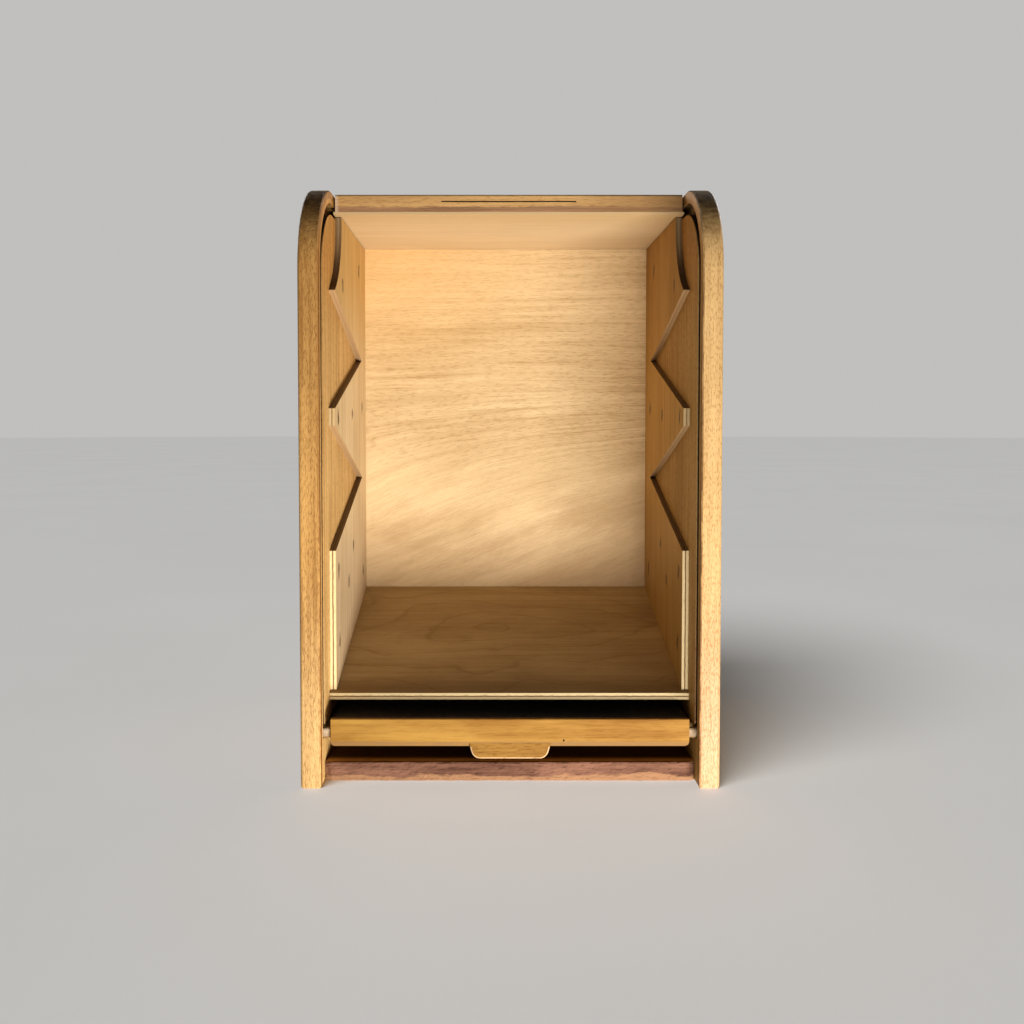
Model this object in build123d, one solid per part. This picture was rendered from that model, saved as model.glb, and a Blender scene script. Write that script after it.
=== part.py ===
from build123d import *
import math
import os

# A small upright desk box with a roll shutter, in millimetres.
# +Z is up, the open front faces -Y, and the origin is the centre of the footprint.

# Case
WIDTH = 245.0
DEPTH = 208.0
HEIGHT = 357.0
SIDE_T = 12.0
CORNER_R = 54.0          # front top corner of each side
REAR_CORNER_R = 2.0
OUTER_EDGE_R = 2.0       # the rounding all round each side's outer face
INNER_EDGE = 0.7         # the small bevel all round its inner face
PLY_T = 4.0              # three-ply linings
INNER_X = WIDTH / 2 - SIDE_T
LINER_X = INNER_X - PLY_T
FIT_GAP = 0.1            # each side of a panel that is let in

# Boards, as depths behind the front edge and heights above the base
TOP_T = 11.0
CEILING_T = 1.5
TOP_FRONT = 58.0
TOP_END_GAP = 1.2
TOP_EDGE_R = 1.5
TOP_SLOT = (85.0, 12.0, 0.9)      # length, depth and height of the thin slot in the front edge
TOP_SLOT_DROP = 4.4               # from the top face to the middle of the slot
BASE_T = 11.0
BASE_FRONT = 12.0
BASE_END_GAP = 0.6
FLOOR_FRONT = 31.8
FLOOR_FRONT_Z = 47.5
FLOOR_RISE = 14.85                # degrees
INNER_BACK = 184.0
INNER_BACK_FOOT = 12.0            # how far the inner back reaches below the floor
HOUSING = 2.0                     # how far the inner back is let into each side
HOUSING_LOW = 40.0
OUTER_BACK_T = 5.0
REBATE = 6.0                      # across each side's rear edge, for the outer back
OUTER_BACK = DEPTH - OUTER_BACK_T
OUTER_BACK_GAP = 0.5              # above and below the outer back

# Liners
LINER_FRONT = 35.5
BITE_R = 51.5                     # the concave top front corner
BITE_CENTRE = (14.4, 340.5)
NOTCHES = ((295.6, 73.6), (211.8, 77.4))     # top and height of each notch at the front edge
NOTCH_TIP = 161.0
LINER_TOP_GAP = 0.5
LINER_FOOT_GAP = 0.2

# Shutter groove and curtain
GROOVE_W = 7.0
GROOVE_DEEP = 5.0
GROOVE_IN = 11.0                  # centre line behind the front edge and below the top
GROOVE_END = 80.0                 # past the top board's front edge
RUN_Z = 29.5                      # centre line of the run below the floor
REAR_RUN = 194.0                  # centre line of the run behind the inner back
REAR_RUN_TOP = 330.0
INNER_CORNER_R = 1.5

BAR_T = 11.0
BAR_FRONT = 8.0
BAR_BOTTOM = 21.2
BAR_H = 17.3
BAR_HALF = 106.0
BAR_CHAMFER = 3.9                 # along the bottom front edge
BAR_REAR_SLOPE = 8.0              # cut off the top rear edge, so the bar clears the round corner
BAR_TOP_R = 0.8
BAR_END_R = 2.2
TENON_H = 6.0
TENON_T = 4.5
TENON_BACK = 14.3                 # its rear face, just clear of the groove's rear wall
TENON_HALF = 114.5
TENON_CORNER = 1.8
TACK_HOLE = (31.8, 4.6, 0.6)      # distance from the middle, height above the bar's foot, radius
PULL_TOP_W = 49.0
PULL_BOTTOM_W = 43.6
PULL_BOTTOM = 14.3
PULL_FRONT = 9.0
PULL_T = 9.0
PULL_CORNER = 5.5
PULL_RIM = 1.3
PULL_GAP = 0.05
PULL_DOWEL_R = 1.5
PULL_DOWEL_L = 12.0
PULL_DOWEL_X = 12.0

SLATS = 33
SLAT_PITCH = 10.0
SLAT_W = 9.4
SLAT_T = 4.0
SLAT_HALF = 114.5
CANVAS_T = 0.8
CANVAS_HALF = 109.0
CANVAS_BEND_R = 5.0
CANVAS_LIFT = 0.05                # between the slats and the canvas
SLAT_EDGE = 1.0
CURTAIN_FRONT = 24.6

# Cleats and fasteners
CLEAT = 8.0
CLEAT_FRONT = 48.0
CLEAT_BACK = 180.0
BRAD_R = 0.7
BRAD_HEAD_R = 1.1
BRAD_HEAD_T = 0.5
LINER_BRAD_L = 11.0
CLEAT_BRAD_L = 15.0
TOP_DOWEL_R = 2.5
BASE_DOWEL_R = 3.0
DOWEL_IN = 100.0
DOWEL_OUT = 118.0
HOLE_GAP = 0.05
LINER_BRADS = [                   # depth and height of each
    (70, 302), (148, 322),
    (48, 217), (111, 219), (162, 224),
    (47, 120), (91, 108), (113, 129), (165, 104),
    (50, 75),
]
CLEAT_BRAD_DEPTHS = (62.0, 114.0, 166.0)
TOP_DOWEL_DEPTHS = (100.0, 140.0, 180.0)
BASE_DOWEL_DEPTHS = (40.0, 108.0, 176.0)
SCREW_X = (-84.0, 0.0, 84.0)
SCREW_L = 16.0
SCREW_R = 1.4
SCREW_HEAD_R = 2.6
SCREW_HEAD_T = 2.0
SCREW_SLOT = (5.2, 1.2, 0.7)      # length, depth doubled and width of the driver slot

os.makedirs("parts", exist_ok=True)


def behind(depth):
    """The Y of a plane that lies this far behind the front edge."""
    return depth - DEPTH / 2


def save(name, shape):
    export_step(shape, f"parts/{name}.step")


def block(x, depths, heights):
    """A box from -x to x, between two depths and two heights."""
    size = (2 * x, depths[1] - depths[0], heights[1] - heights[0])
    centre = (0, behind(sum(depths) / 2), sum(heights) / 2)
    return Pos(*centre) * Box(*size)


def profile(points):
    """A closed outline of (depth, height) points, standing in the plane x = 0."""
    corners = [(behind(depth), height) for depth, height in points]
    return make_face(Polyline(*corners, close=True))


def across(outline, low, high):
    """The outline, given in (Y, Z), as a solid from x = low to x = high."""
    return Pos(low, 0, 0) * extrude(Plane.YZ * outline, high - low)


def rod(x_low, x_high, radius, depth, height):
    centre = (behind(depth), height)
    return across(Pos(*centre) * Circle(radius), x_low, x_high)


def mirrored(shape):
    return mirror(shape, about=Plane.YZ)


def floor_top(depth):
    """Height of the sloping floor's upper face."""
    return FLOOR_FRONT_Z + (depth - FLOOR_FRONT) * math.tan(math.radians(FLOOR_RISE))


def straight_slot(start, end):
    """A round-ended slot between two (depth, height) points on one vertical or level line."""
    length = math.dist(start, end)
    turn = 90 if start[0] == end[0] else 0
    middle = (behind((start[0] + end[0]) / 2), (start[1] + end[1]) / 2)
    return Pos(*middle) * Rot(0, 0, turn) * SlotCenterToCenter(length, GROOVE_W)


def groove_outline():
    """The shutter's track: over the front arc, down the front, under the floor and up the back."""
    arc_z = HEIGHT - CORNER_R
    radius = CORNER_R - GROOVE_IN
    ring = Circle(radius + GROOVE_W / 2) - Circle(radius - GROOVE_W / 2)
    quarter = Pos(-CORNER_R / 2, CORNER_R / 2) * Rectangle(CORNER_R, CORNER_R)
    track = Pos(behind(CORNER_R), arc_z) * (ring & quarter)
    track += straight_slot((CORNER_R, HEIGHT - GROOVE_IN), (GROOVE_END, HEIGHT - GROOVE_IN))
    track += straight_slot((GROOVE_IN, arc_z), (GROOVE_IN, RUN_Z))
    track += straight_slot((GROOVE_IN, RUN_Z), (REAR_RUN, RUN_Z))
    track += straight_slot((REAR_RUN, RUN_Z), (REAR_RUN, REAR_RUN_TOP))
    inner_z = RUN_Z + GROOVE_W / 2
    for depth in (GROOVE_IN + GROOVE_W / 2, REAR_RUN - GROOVE_W / 2):
        corner = track.vertices().sort_by_distance((behind(depth), inner_z, 0))[0]
        track = fillet(corner, INNER_CORNER_R)
    return track


def side_right(brads, dowels):
    board = Pos(0, HEIGHT / 2) * Rectangle(DEPTH, HEIGHT)
    front_top = board.vertices().sort_by_distance((behind(0), HEIGHT, 0))[0]
    board = fillet(front_top, CORNER_R)
    rear_top = board.vertices().sort_by_distance((behind(DEPTH), HEIGHT, 0))[0]
    board = fillet(rear_top, REAR_CORNER_R)
    side = across(board, INNER_X, WIDTH / 2)
    outer_rim = side.faces().sort_by(Axis.X)[-1].edges()
    side = fillet(outer_rim, OUTER_EDGE_R)
    inner_rim = side.faces().filter_by(Axis.X).sort_by(Axis.X)[0].edges()
    side = chamfer(inner_rim, INNER_EDGE)
    side -= across(groove_outline(), INNER_X - 1, INNER_X + GROOVE_DEEP)
    housing = [
        (INNER_BACK - FIT_GAP, HOUSING_LOW),
        (INNER_BACK + PLY_T + FIT_GAP, HOUSING_LOW),
        (INNER_BACK + PLY_T + FIT_GAP, HEIGHT - TOP_T),
        (INNER_BACK - FIT_GAP, HEIGHT - TOP_T),
    ]
    side -= across(profile(housing), INNER_X - 1, INNER_X + HOUSING + FIT_GAP)
    rebate = [(OUTER_BACK, -1), (DEPTH + 1, -1), (DEPTH + 1, HEIGHT + 1), (OUTER_BACK, HEIGHT + 1)]
    side -= across(profile(rebate), INNER_X - 1, INNER_X + REBATE)
    for hole in brads + dowels:
        side -= hole
    return side


def liner_right(brads):
    """A three-ply lining with a concave top corner and two V notches in its front edge."""
    back = INNER_BACK
    top = HEIGHT - TOP_T - CEILING_T - LINER_TOP_GAP
    board = profile([
        (LINER_FRONT, floor_top(LINER_FRONT) + LINER_FOOT_GAP),
        (back, floor_top(back) + LINER_FOOT_GAP),
        (back, top),
        (LINER_FRONT, top),
    ])
    board -= Pos(behind(BITE_CENTRE[0]), BITE_CENTRE[1]) * Circle(BITE_R)
    for notch_top, height in NOTCHES:
        foot = notch_top - height
        mouth = LINER_FRONT - 1
        board -= profile([(mouth, notch_top), (NOTCH_TIP, (notch_top + foot) / 2), (mouth, foot)])
    liner = across(board, LINER_X, INNER_X)
    for hole in brads:
        liner -= hole
    return liner


def top_board(dowels, screws):
    board = block(INNER_X - TOP_END_GAP, (TOP_FRONT, OUTER_BACK), (HEIGHT - TOP_T, HEIGHT))
    top_front = board.edges().filter_by(Axis.X).sort_by_distance((0, behind(TOP_FRONT), HEIGHT))[0]
    board = fillet(top_front, TOP_EDGE_R)
    length, deep, high = TOP_SLOT
    slot_z = HEIGHT - TOP_SLOT_DROP
    board -= block(length / 2, (TOP_FRONT - 1, TOP_FRONT + deep), (slot_z - high / 2, slot_z + high / 2))
    for hole in dowels + screws:
        board -= hole
    return board


def base_board(dowels, screws):
    board = block(INNER_X - BASE_END_GAP, (BASE_FRONT, OUTER_BACK), (0, BASE_T))
    for hole in dowels + screws:
        board -= hole
    return board


def sloping_floor():
    rise = PLY_T / math.cos(math.radians(FLOOR_RISE))
    back = INNER_BACK - 0.2
    return across(profile([
        (FLOOR_FRONT, FLOOR_FRONT_Z - rise),
        (back, floor_top(back) - rise),
        (back, floor_top(back)),
        (FLOOR_FRONT, FLOOR_FRONT_Z),
    ]), -INNER_X + FIT_GAP, INNER_X - FIT_GAP)


def floor_cleat_right(brads):
    """A strip below the floor's edge, nailed to the side and sloping with the floor."""
    slope = math.cos(math.radians(FLOOR_RISE))
    under = PLY_T / slope
    low = under + CLEAT / slope
    cleat = across(profile([
        (CLEAT_FRONT, floor_top(CLEAT_FRONT) - low),
        (CLEAT_BACK, floor_top(CLEAT_BACK) - low),
        (CLEAT_BACK, floor_top(CLEAT_BACK) - under),
        (CLEAT_FRONT, floor_top(CLEAT_FRONT) - under),
    ]), INNER_X - CLEAT, INNER_X)
    for hole in brads:
        cleat -= hole
    return cleat


def lead_bar(dowels):
    """The shutter's front rail: a bevelled bar with a tenon at each end that runs in the grooves."""
    top = BAR_BOTTOM + BAR_H
    section = profile([
        (BAR_FRONT, BAR_BOTTOM + BAR_CHAMFER),
        (BAR_FRONT + BAR_CHAMFER, BAR_BOTTOM),
        (BAR_FRONT + BAR_T, BAR_BOTTOM),
        (BAR_FRONT + BAR_T, top - BAR_REAR_SLOPE),
        (BAR_FRONT + BAR_T - BAR_REAR_SLOPE, top),
        (BAR_FRONT, top),
    ])
    top_edges = section.vertices().sort_by(Axis.Y)[-2:]
    section = fillet(top_edges, BAR_TOP_R)
    bar = across(section, -BAR_HALF, BAR_HALF)
    end_corners = bar.edges().filter_by(Axis.Y).group_by(Axis.Z)[0]
    bar = fillet(end_corners, BAR_END_R)
    tenon = Rectangle(TENON_T, TENON_H)
    tenon = fillet(tenon.vertices(), TENON_CORNER)
    bar += across(Pos(behind(TENON_BACK - TENON_T / 2), RUN_Z) * tenon, -TENON_HALF, TENON_HALF)
    tack_x, tack_z, tack_r = TACK_HOLE
    bar -= Pos(tack_x, behind(BAR_FRONT), BAR_BOTTOM + tack_z) * Rot(90, 0, 0) * Cylinder(tack_r, 3)
    for hole in dowels:
        bar -= hole
    return bar


def finger_pull(dowels):
    """A round-cornered tab below the bar, cut to fit against the bar's bevel."""
    top = BAR_BOTTOM - PULL_GAP
    lip = BAR_BOTTOM + BAR_CHAMFER - (PULL_FRONT - BAR_FRONT) - 2 * PULL_GAP
    section = profile([
        (PULL_FRONT, PULL_BOTTOM),
        (PULL_FRONT + PULL_T, PULL_BOTTOM),
        (PULL_FRONT + PULL_T, top),
        (BAR_FRONT + BAR_CHAMFER, top),
        (PULL_FRONT, lip),
    ])
    tab = across(section, -PULL_TOP_W / 2, PULL_TOP_W / 2)
    front = make_face(Polyline(
        (-PULL_TOP_W / 2, lip), (-PULL_BOTTOM_W / 2, PULL_BOTTOM),
        (PULL_BOTTOM_W / 2, PULL_BOTTOM), (PULL_TOP_W / 2, lip), close=True))
    low_corners = front.vertices().sort_by(Axis.Y)[:2]
    front = fillet(low_corners, PULL_CORNER)
    outline = Pos(0, behind(PULL_FRONT - 1), 0) * extrude(Plane.XZ * front, -(PULL_T + 2))
    tab &= outline
    face = tab.faces().sort_by(Axis.Y)[0]
    rim = face.edges().filter_by(lambda edge: edge.center().Z < top - 0.5)
    tab = fillet(rim, PULL_RIM)
    for hole in dowels:
        tab -= hole
    return tab


def canvas_point(length):
    """Where the canvas lies at this length from the bar: (depth, height, turn in degrees)."""
    level = RUN_Z + SLAT_T / 2
    upright = REAR_RUN - SLAT_T / 2
    run = upright - CANVAS_BEND_R - CURTAIN_FRONT
    bend = CANVAS_BEND_R * math.pi / 2
    if length <= run:
        return CURTAIN_FRONT + length, level, 0.0
    if length >= run + bend:
        return upright, level + CANVAS_BEND_R + length - run - bend, 90.0
    turn = (length - run) / CANVAS_BEND_R
    depth = upright - CANVAS_BEND_R + CANVAS_BEND_R * math.sin(turn)
    return depth, level + CANVAS_BEND_R * (1 - math.cos(turn)), math.degrees(turn)


def slat(number):
    """One strip of the curtain, its flat face on the canvas and its outer edges eased."""
    depth, height, turn = canvas_point((number + 0.5) * SLAT_PITCH)
    section = Pos(0, -SLAT_T / 2) * Rectangle(SLAT_W, SLAT_T)
    outer = section.vertices().group_by(Axis.Y)[0]
    section = chamfer(outer, SLAT_EDGE)
    return across(Pos(behind(depth), height) * Rot(0, 0, turn) * section, -SLAT_HALF, SLAT_HALF)


def canvas_backing():
    """The cloth that joins the slats, on their inner side."""
    end_height = canvas_point(SLATS * SLAT_PITCH)[1]

    def face_line(lift):
        level = RUN_Z + SLAT_T / 2 + lift
        upright = behind(REAR_RUN - SLAT_T / 2 - lift)
        ends = (behind(CURTAIN_FRONT), level), (upright, level), (upright, end_height)
        return FilletPolyline(*ends, radius=CANVAS_BEND_R - lift)

    path = face_line(CANVAS_LIFT)
    inner = face_line(CANVAS_LIFT + CANVAS_T)
    ends = Line(path @ 0, inner @ 0) + Line(path @ 1, inner @ 1)
    return across(make_face(path + inner + ends), -CANVAS_HALF, CANVAS_HALF)


def brad(start, length, depth, height, gap=0.0):
    """A flush brad driven outward from x = start, or its hole when it has a gap."""
    head = rod(start - gap, start + BRAD_HEAD_T, BRAD_HEAD_R + gap, depth, height)
    return head + rod(start, start + length + gap, BRAD_R + gap, depth, height)


def screw(x, height, gap=0.0):
    """A countersunk screw through the outer back, flush with its rear face."""
    face = behind(DEPTH)
    cone = Cone(SCREW_R + gap, SCREW_HEAD_R + gap, SCREW_HEAD_T)
    shank = Cylinder(SCREW_R + gap, SCREW_L + 2 * gap)
    body = Pos(x, face - SCREW_HEAD_T / 2, height) * Rot(-90, 0, 0) * cone
    body += Pos(x, face - SCREW_L / 2, height) * Rot(-90, 0, 0) * shank
    if not gap:
        body -= Pos(x, face, height) * Box(*SCREW_SLOT)
    return body


def cleat_brad_height(depth):
    return floor_top(depth) - (PLY_T + CLEAT / 2) / math.cos(math.radians(FLOOR_RISE))


def liner_brads(gap=0.0):
    return [brad(LINER_X, LINER_BRAD_L, depth, height, gap) for depth, height in LINER_BRADS]


def cleat_brads(gap=0.0):
    start = INNER_X - CLEAT
    return [brad(start, CLEAT_BRAD_L, depth, cleat_brad_height(depth), gap) for depth in CLEAT_BRAD_DEPTHS]


def dowels(radius, depths, height, gap):
    return [rod(DOWEL_IN - gap, DOWEL_OUT + gap, radius + gap, depth, height) for depth in depths]


def top_dowels(gap=0.0):
    return dowels(TOP_DOWEL_R, TOP_DOWEL_DEPTHS, HEIGHT - TOP_T / 2, gap)


def base_dowels(gap=0.0):
    return dowels(BASE_DOWEL_R, BASE_DOWEL_DEPTHS, BASE_T / 2, gap)


def pull_dowels(gap=0.0):
    depth = behind(BAR_FRONT + BAR_T / 2)
    dowel = Cylinder(PULL_DOWEL_R + gap, PULL_DOWEL_L + 2 * gap)
    return [Pos(x, depth, BAR_BOTTOM) * dowel for x in (-PULL_DOWEL_X, PULL_DOWEL_X)]


def screws(gap=0.0):
    heights = (BASE_T / 2, HEIGHT - TOP_T / 2)
    return [screw(x, height, gap) for height in heights for x in SCREW_X]


def both(shapes):
    return shapes + [mirrored(shape) for shape in shapes]


brad_holes = liner_brads(HOLE_GAP)
cleat_holes = cleat_brads(HOLE_GAP)
top_holes = top_dowels(HOLE_GAP)
base_holes = base_dowels(HOLE_GAP)
screw_holes = screws(HOLE_GAP)

right = side_right(brad_holes + cleat_holes, top_holes + base_holes)
save("side_right", right)
save("side_left", mirrored(right))
liner = liner_right(brad_holes)
save("liner_right", liner)
save("liner_left", mirrored(liner))
cleat = floor_cleat_right(cleat_holes)
save("floor_cleat_right", cleat)
save("floor_cleat_left", mirrored(cleat))

save("top_board", top_board(both(top_holes), screw_holes))
ceiling_z = (HEIGHT - TOP_T - CEILING_T, HEIGHT - TOP_T)
save("ceiling_lining", block(INNER_X - FIT_GAP, (TOP_FRONT, INNER_BACK + PLY_T), ceiling_z))
save("base_board", base_board(both(base_holes), screw_holes))
save("sloping_floor", sloping_floor())
inner_back_z = (floor_top(INNER_BACK) - INNER_BACK_FOOT, ceiling_z[0] - FIT_GAP)
save("inner_back", block(INNER_X + HOUSING, (INNER_BACK, INNER_BACK + PLY_T), inner_back_z))
outer_back_z = (OUTER_BACK_GAP, HEIGHT - OUTER_BACK_GAP)
back_panel = block(INNER_X + REBATE - FIT_GAP, (OUTER_BACK, DEPTH), outer_back_z)
for hole in screw_holes:
    back_panel -= hole
save("outer_back", back_panel)

save("lead_bar", lead_bar(pull_dowels(HOLE_GAP)))
save("finger_pull", finger_pull(pull_dowels(HOLE_GAP)))
save("canvas_backing", canvas_backing())
for number in range(SLATS):
    save(f"slat_{number + 1:02d}", slat(number))

save("liner_brads", Compound(both(liner_brads())))
save("cleat_brads", Compound(both(cleat_brads())))
save("top_dowels", Compound(both(top_dowels())))
save("base_dowels", Compound(both(base_dowels())))
save("pull_dowels", Compound(pull_dowels()))
save("outer_back_screws", Compound(screws()))
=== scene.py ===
import math

import bmesh
import bpy
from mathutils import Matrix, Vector, noise


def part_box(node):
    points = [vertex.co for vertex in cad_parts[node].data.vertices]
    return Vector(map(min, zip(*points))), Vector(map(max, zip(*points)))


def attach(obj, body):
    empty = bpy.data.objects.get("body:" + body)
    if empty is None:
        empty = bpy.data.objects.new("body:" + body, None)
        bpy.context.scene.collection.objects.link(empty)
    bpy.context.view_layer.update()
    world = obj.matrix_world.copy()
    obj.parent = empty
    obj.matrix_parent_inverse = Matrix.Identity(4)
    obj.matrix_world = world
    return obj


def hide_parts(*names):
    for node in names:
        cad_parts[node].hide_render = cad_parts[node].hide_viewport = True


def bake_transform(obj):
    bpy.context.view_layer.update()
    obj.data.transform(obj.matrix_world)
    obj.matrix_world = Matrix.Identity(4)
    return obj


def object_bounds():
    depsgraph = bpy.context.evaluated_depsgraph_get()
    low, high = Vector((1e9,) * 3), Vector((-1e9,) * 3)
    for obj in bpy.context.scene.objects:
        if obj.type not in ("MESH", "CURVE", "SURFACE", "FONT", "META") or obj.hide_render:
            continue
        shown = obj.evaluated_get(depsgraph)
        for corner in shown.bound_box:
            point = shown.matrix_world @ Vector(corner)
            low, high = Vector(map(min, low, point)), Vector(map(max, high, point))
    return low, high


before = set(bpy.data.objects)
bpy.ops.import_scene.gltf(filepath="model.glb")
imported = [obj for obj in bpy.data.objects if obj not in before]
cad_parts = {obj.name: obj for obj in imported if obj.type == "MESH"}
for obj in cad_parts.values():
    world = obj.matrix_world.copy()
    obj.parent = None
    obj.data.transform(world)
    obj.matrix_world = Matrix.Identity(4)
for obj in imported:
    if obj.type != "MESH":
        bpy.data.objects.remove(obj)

CAD_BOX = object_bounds()
CASE = "case"
MM = 0.001


# ---------------------------------------------------------------- places from the frame, and a few sizes

def low(node):
    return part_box(node)[0]


def high(node):
    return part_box(node)[1]


FRONT = CAD_BOX[0].y
TOP = CAD_BOX[1].z
INNER_X = low("side_right").x
LINER_X = low("liner_right").x
PLY = high("liner_right").x - LINER_X
FLOOR_HIGH = high("sloping_floor")
FLOOR_RISE = math.radians(14.85)
CORNER_R = 54.0 * MM
BITE_R = 51.5 * MM
BITE_CENTRE = (FRONT + 14.4 * MM, 340.5 * MM)


# ---------------------------------------------------------------- shader graphs

AXES = {"X": 0, "Y": 1, "Z": 2}


class Graph:
    """A material's nodes, built a step at a time."""

    def __init__(self, name):
        self.material = bpy.data.materials.new(name)
        self.material.use_nodes = True
        self.tree = self.material.node_tree
        self.shader = self.tree.nodes["Principled BSDF"]
        coordinates = self.tree.nodes.new("ShaderNodeTexCoord")
        self.place = coordinates.outputs["Object"]
        self.normal = coordinates.outputs["Normal"]
        self.split = {}

    def put(self, value, socket):
        if isinstance(value, bpy.types.NodeSocket):
            self.tree.links.new(value, socket)
        else:
            socket.default_value = value

    def axis(self, letter, source=None):
        source = source or self.place
        if source not in self.split:
            parts = self.tree.nodes.new("ShaderNodeSeparateXYZ")
            self.put(source, parts.inputs[0])
            self.split[source] = parts
        return self.split[source].outputs[AXES[letter]]

    def joined(self, x, y, z):
        node = self.tree.nodes.new("ShaderNodeCombineXYZ")
        for value, socket in zip((x, y, z), node.inputs):
            self.put(value, socket)
        return node.outputs[0]

    def math(self, operation, first, second=0.0, clamp=False):
        node = self.tree.nodes.new("ShaderNodeMath")
        node.operation = operation
        node.use_clamp = clamp
        self.put(first, node.inputs[0])
        self.put(second, node.inputs[1])
        return node.outputs[0]

    def total(self, *values):
        result = values[0]
        for value in values[1:]:
            result = self.math("ADD", result, value)
        return result

    def product(self, *values):
        result = values[0]
        for value in values[1:]:
            result = self.math("MULTIPLY", result, value)
        return result

    def hypot(self, first, second):
        squares = self.math("ADD", self.math("POWER", first, 2.0), self.math("POWER", second, 2.0))
        return self.math("SQRT", squares)

    def stretched(self, scale, turn=(0, 0, 0), shift=(0, 0, 0), source=None):
        node = self.tree.nodes.new("ShaderNodeMapping")
        self.put(source or self.place, node.inputs["Vector"])
        node.inputs["Scale"].default_value = scale
        node.inputs["Rotation"].default_value = turn
        node.inputs["Location"].default_value = shift
        return node.outputs[0]

    def noise(self, vector, scale=1.0, detail=2.0, roughness=0.5, distortion=0.0):
        node = self.tree.nodes.new("ShaderNodeTexNoise")
        self.put(vector, node.inputs["Vector"])
        node.inputs["Scale"].default_value = scale
        node.inputs["Detail"].default_value = detail
        node.inputs["Roughness"].default_value = roughness
        node.inputs["Distortion"].default_value = distortion
        return node.outputs[0]

    def distance_to(self, vector, point):
        node = self.tree.nodes.new("ShaderNodeVectorMath")
        node.operation = "DISTANCE"
        self.put(vector, node.inputs[0])
        node.inputs[1].default_value = point
        return node.outputs["Value"]

    def between(self, value, start, end, low_value=0.0, high_value=1.0):
        """The value rescaled from start..end to low..high, smoothly and held at both ends."""
        node = self.tree.nodes.new("ShaderNodeMapRange")
        node.interpolation_type = "SMOOTHSTEP"
        self.put(value, node.inputs["Value"])
        node.inputs["From Min"].default_value = start
        node.inputs["From Max"].default_value = end
        node.inputs["To Min"].default_value = low_value
        node.inputs["To Max"].default_value = high_value
        return node.outputs[0]

    def band(self, value, start, end, soft):
        """1 between start and end, 0 outside, with soft edges."""
        rise = self.between(value, start - soft, start + soft)
        fall = self.between(value, end - soft, end + soft, 1.0, 0.0)
        return self.math("MULTIPLY", rise, fall)

    def mix(self, amount, first, second, blend="MIX"):
        node = self.tree.nodes.new("ShaderNodeMix")
        node.data_type = "RGBA"
        node.blend_type = blend
        self.put(amount, node.inputs[0])
        self.put((*first, 1.0) if isinstance(first, tuple) else first, node.inputs[6])
        self.put((*second, 1.0) if isinstance(second, tuple) else second, node.inputs[7])
        return node.outputs[2]

    def finish(self, colour, roughness, height, depth):
        """Connects the colour, roughness and bump. depth is the bump's height in metres."""
        self.put(colour, self.shader.inputs["Base Color"])
        self.put(roughness, self.shader.inputs["Roughness"])
        bump = self.tree.nodes.new("ShaderNodeBump")
        bump.inputs["Distance"].default_value = depth
        bump.inputs["Strength"].default_value = 1.0
        self.put(height, bump.inputs["Height"])
        self.put(bump.outputs[0], self.shader.inputs["Normal"])
        return self.material


# ---------------------------------------------------------------- wood

def along(grain, along_scale, across_scale):
    """A scale for each axis: a small one along the grain and a large one across it."""
    scale = [across_scale] * 3
    scale[AXES[grain]] = along_scale
    return tuple(scale)


def tint(colour, factor, hue=(1.0, 1.0, 1.0)):
    return tuple(channel * factor * part for channel, part in zip(colour, hue))


def wood_layers(graph, light, dark, grain, seed=0.0, tone=0.4, streaks=0.4, threads=0.15, flecks=0.0,
                fleck_scale=(420.0, 1400.0), lines=0.0, figure=(2.5, 14.0, 9.0), knots=0.0, source=None,
                field=None):
    """Wood's colour, height and shade: slow tone, streaks and fibres along the grain, lines, flecks, knots.

    figure is the growth lines' slow scale, cross scale and count. field replaces their noise."""
    shift = (seed, seed * 1.7, seed * 2.3)

    def grained(along_scale, across_scale):
        return graph.stretched(along(grain, along_scale, across_scale), (0, 0, 0), shift, source)

    broad = graph.noise(grained(2.5, 15.0), detail=3.0)
    patch = graph.noise(grained(14.0, 30.0), detail=3.0, roughness=0.6)
    streak = graph.noise(grained(7.0, 230.0), detail=4.0, roughness=0.6)
    fibre = graph.noise(grained(28.0, 1100.0), detail=3.0, roughness=0.6)
    thread = graph.noise(grained(11.0, 430.0), detail=2.0, roughness=0.6)
    shade = graph.total(
        graph.between(broad, 0.3, 0.7, 0.0, tone),
        graph.between(patch, 0.35, 0.7, 0.0, tone * 0.6),
        graph.between(streak, 0.3, 0.75, 0.0, streaks),
        graph.between(fibre, 0.3, 0.75, -0.06, 0.14),
        graph.between(thread, 0.52, 0.72, 0.0, threads),
    )
    height = fibre
    if lines:
        slow, cross, rings = figure
        field = field or graph.noise(grained(slow, cross), detail=1.4, roughness=0.4)
        ring = graph.math("FRACT", graph.math("MULTIPLY", field, rings))
        swell = graph.math("MULTIPLY", graph.math("POWER", ring, 3.0), lines * 0.45)
        thin = graph.math("MULTIPLY", graph.band(ring, 0.90, 0.98, 0.03), lines)
        shade = graph.total(shade, swell, thin)
    if flecks:
        speckle = graph.noise(grained(*fleck_scale), detail=2.0, roughness=0.6)
        mark = graph.between(speckle, 0.50, 0.66)
        shade = graph.math("ADD", shade, graph.math("MULTIPLY", mark, flecks))
        height = graph.math("SUBTRACT", height, graph.math("MULTIPLY", mark, 0.7))
    shade = graph.math("ADD", shade, 0.0, clamp=True)
    colour = graph.mix(shade, light, dark)
    if knots:
        rare = graph.noise(grained(26.0, 70.0), detail=1.0)
        spot = graph.between(rare, 0.735, 0.80, 0.0, knots)
        colour = graph.mix(spot, colour, tint(dark, 0.4))
    return colour, height, shade


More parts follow.
